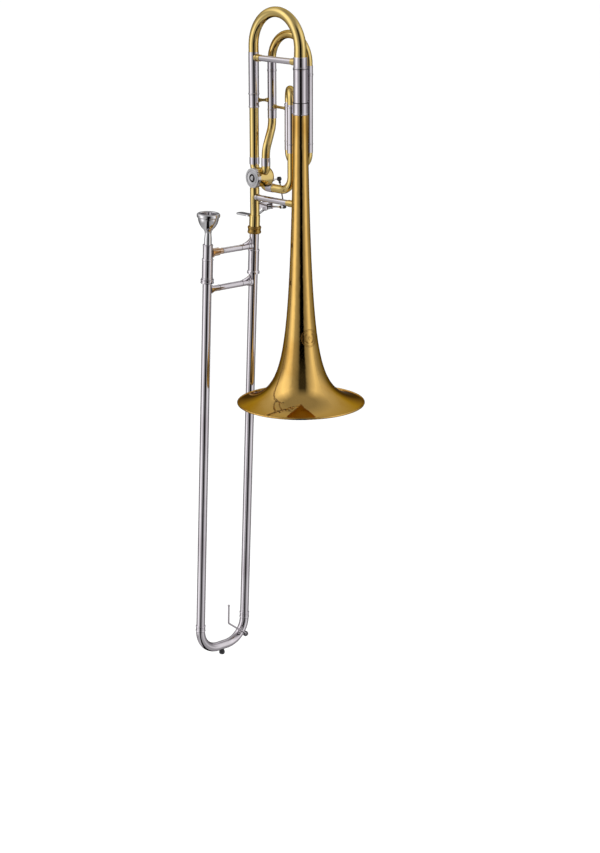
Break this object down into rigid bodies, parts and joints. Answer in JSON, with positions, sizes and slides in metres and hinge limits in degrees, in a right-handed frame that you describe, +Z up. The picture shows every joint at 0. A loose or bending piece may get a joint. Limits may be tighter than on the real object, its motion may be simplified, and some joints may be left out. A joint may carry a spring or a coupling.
{
  "type": "tenor trombone",
  "caption": "Tenor trombone with a flared bell, rotary valve attachment with thumb lever, tuning slides and a telescoping hand slide.",
  "frame": {"origin": "centre of the bell's rim plane, on the bell's axis", "axes": "+Z up the bell's axis, away from its mouth; +X from the neckpipe towards the bell; the valve attachment is on the +Y side"},
  "size_m": [0.3035, 0.2292, 1.1463],
  "materials": {
    "yellow_brass": "polished, clear lacquer",
    "gold_brass": "polished, clear lacquer",
    "nickel_silver": "polished",
    "silver_plate": "polished",
    "spring_steel": "blued",
    "black_rubber": "matt"
  },
  "bodies": {
    "bell_section": {"attachment_braces": "yellow_brass", "attachment_lower_bow": "yellow_brass", "attachment_riser": "yellow_brass", "attachment_slide_sleeves": "nickel_silver", "bell": "gold_brass", "bell_brace": "yellow_brass", "bell_ferrule": "nickel_silver", "bell_side_tuning_sleeve": "nickel_silver", "lever_pivot_screw": "spring_steel", "lever_saddle": "nickel_silver", "lever_spring": "spring_steel", "lower_neckpipe": "yellow_brass", "neck_receiver": "yellow_brass", "neck_tuning_ferrule": "nickel_silver", "neck_tuning_leg": "nickel_silver", "return_bend": "yellow_brass", "rim_wire": "spring_steel", "small_slide_sleeves": "nickel_silver", "stop_bumpers": "black_rubber", "stop_plate": "yellow_brass", "upper_neckpipe": "yellow_brass", "valve_back_bearing": "yellow_brass", "valve_cap": "silver_plate", "valve_casing": "yellow_brass", "valve_ferrules": "nickel_silver"},
    "main_tuning_slide": {"tuning_bow": "yellow_brass", "tuning_neck_sleeve": "nickel_silver", "tuning_bell_ferrule": "nickel_silver", "tuning_bell_leg": "nickel_silver", "tuning_slide_brace": "yellow_brass"},
    "attachment_tuning_slide": {"attachment_slide_bow": "yellow_brass", "attachment_bow_ferrules": "nickel_silver", "attachment_slide_legs": "nickel_silver"},
    "small_attachment_slide": {"small_slide_bow": "yellow_brass", "small_slide_legs": "nickel_silver"},
    "valve_rotor": {"rotor": "yellow_brass", "stop_arm": "nickel_silver", "stop_screw": "nickel_silver"},
    "thumb_lever": {"thumb_lever": "silver_plate"},
    "valve_link": {"link_rod": "spring_steel", "link_joints": "black_rubber"},
    "slide_section": {"neck_tenon": "nickel_silver", "cork_barrels": "nickel_silver", "inner_slide_tubes": "nickel_silver", "mouthpiece_receiver": "nickel_silver", "leadpipe": "yellow_brass", "hand_brace": "nickel_silver"},
    "lock_nut": {"lock_nut": "yellow_brass"},
    "slide_lock": {"slide_lock": "nickel_silver"},
    "mouthpiece": {"mouthpiece": "silver_plate"},
    "outer_slide": {"outer_slide_tubes": "nickel_silver", "outer_slide_brace": "nickel_silver", "crook_ferrules": "nickel_silver", "slide_crook": "nickel_silver", "tip_bumper": "black_rubber", "water_key_saddle": "nickel_silver", "water_key_spring": "spring_steel"},
    "water_key": {"water_key_lever": "nickel_silver", "water_key_cork": "black_rubber"}
  },
  "joints": [
    {"name": "main_tuning_slide_travel", "type": "slide", "parent": "bell_section", "child": "main_tuning_slide", "axis": [0, 0, 1], "range_m": [0, 0.04]},
    {"name": "attachment_slide_travel", "type": "slide", "parent": "bell_section", "child": "attachment_tuning_slide", "axis": [0, 0, 1], "range_m": [0, 0.055]},
    {"name": "small_slide_travel", "type": "slide", "parent": "bell_section", "child": "small_attachment_slide", "axis": [0, 0, 1], "range_m": [0, 0.034]},
    {"name": "thumb_lever_pivot", "type": "hinge", "parent": "bell_section", "child": "thumb_lever", "pos_m": [-0.1195, 0.031, 0.316], "axis": [0, -1, 0], "range_deg": [0, 22.5], "stiffness_Nm_per_rad": 0.15, "springref_deg": -22.92},
    {"name": "link_travel", "type": "slide", "parent": "bell_section", "child": "valve_link", "axis": [-0.2875, 0, 0.9578], "range_m": [0, 0.01563]},
    {"name": "rotor_turn", "type": "hinge", "parent": "bell_section", "child": "valve_rotor", "pos_m": [-0.101, 0, 0.372], "axis": [0, -1, 0], "range_deg": [0, 90]},
    {"name": "slide_section_swivel", "type": "hinge", "parent": "bell_section", "child": "slide_section", "pos_m": [-0.1155, 0, 0.3118], "axis": [-0.0516, 0, -0.9987], "range_deg": [-12, 12]},
    {"name": "lock_nut_turn", "type": "hinge", "parent": "slide_section", "child": "lock_nut", "pos_m": [-0.1171, 0, 0.28084], "axis": [-0.0516, 0, -0.9987], "range_deg": [0, 270]},
    {"name": "slide_lock_turn", "type": "hinge", "parent": "slide_section", "child": "slide_lock", "pos_m": [-0.12097, -0.1017, 0.20594], "axis": [-0.0516, 0, -0.9987], "range_deg": [0, 25]},
    {"name": "mouthpiece_pull", "type": "slide", "parent": "slide_section", "child": "mouthpiece", "axis": [0.0516, 0, 0.9987], "range_m": [0, 0.02]},
    {"name": "hand_slide_travel", "type": "slide", "parent": "slide_section", "child": "outer_slide", "axis": [-0.0516, 0, -0.9987], "range_m": [0, 0.6]},
    {"name": "water_key_pivot", "type": "hinge", "parent": "outer_slide", "child": "water_key", "pos_m": [-0.14694, -0.01469, -0.45242], "axis": [-0.0412, -0.6018, -0.7976], "range_deg": [0, 12], "stiffness_Nm_per_rad": 0.05, "springref_deg": -11.46}
  ],
  "couplings": [
    {"joint": "rotor_turn", "follows": "thumb_lever_pivot", "ratio": 3.9999},
    {"joint": "link_travel", "follows": "thumb_lever_pivot", "m_per_rad": 0.03977}
  ]
}
